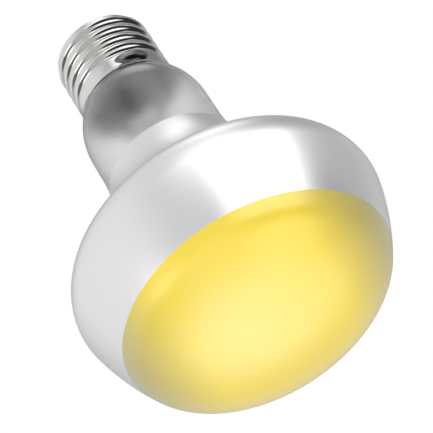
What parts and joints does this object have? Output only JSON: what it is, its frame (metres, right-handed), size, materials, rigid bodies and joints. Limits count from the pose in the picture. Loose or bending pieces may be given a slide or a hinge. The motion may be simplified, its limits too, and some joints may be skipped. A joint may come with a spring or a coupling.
{
  "type": "reflector heat lamp",
  "caption": "Blown glass reflector heat lamp with tinted domed face, mirrored bowl, clear neck and Edison screw cap.",
  "frame": {"origin": "middle of the domed face, the lowest point when the lamp stands on its face", "axes": "+Z along the lamp's axis from the face to the centre contact; +X towards the side that the picture shows, where the thread crest passes at turn zero"},
  "size_m": [0.08, 0.08, 0.1163],
  "materials": {
    "lamp_glass": "polished",
    "mirror_film": "satin",
    "face_tint": "gloss",
    "cap_metal": "satin",
    "solder": "satin",
    "cap_glass": "gloss",
    "cement": "matte",
    "contact_brass": "satin",
    "wire_metal": "satin",
    "coil_metal": "matte"
  },
  "bodies": {
    "root": {"glass_envelope": "lamp_glass", "glass_stem": "lamp_glass", "exhaust_tube": "lamp_glass", "arbor_rod": "lamp_glass", "fuse_sleeve": "lamp_glass", "screw_shell": "cap_metal", "cap_insulator": "cap_glass", "centre_contact": "contact_brass", "contact_solder": "solder", "side_solder": "solder", "capping_cement": "cement", "outer_lead_centre": "wire_metal", "outer_lead_side": "wire_metal", "inner_lead_left": "wire_metal", "inner_lead_right": "wire_metal", "filament": "coil_metal", "support_wire_1": "wire_metal", "support_wire_2": "wire_metal", "support_wire_3": "wire_metal"}
  },
  "joints": []
}
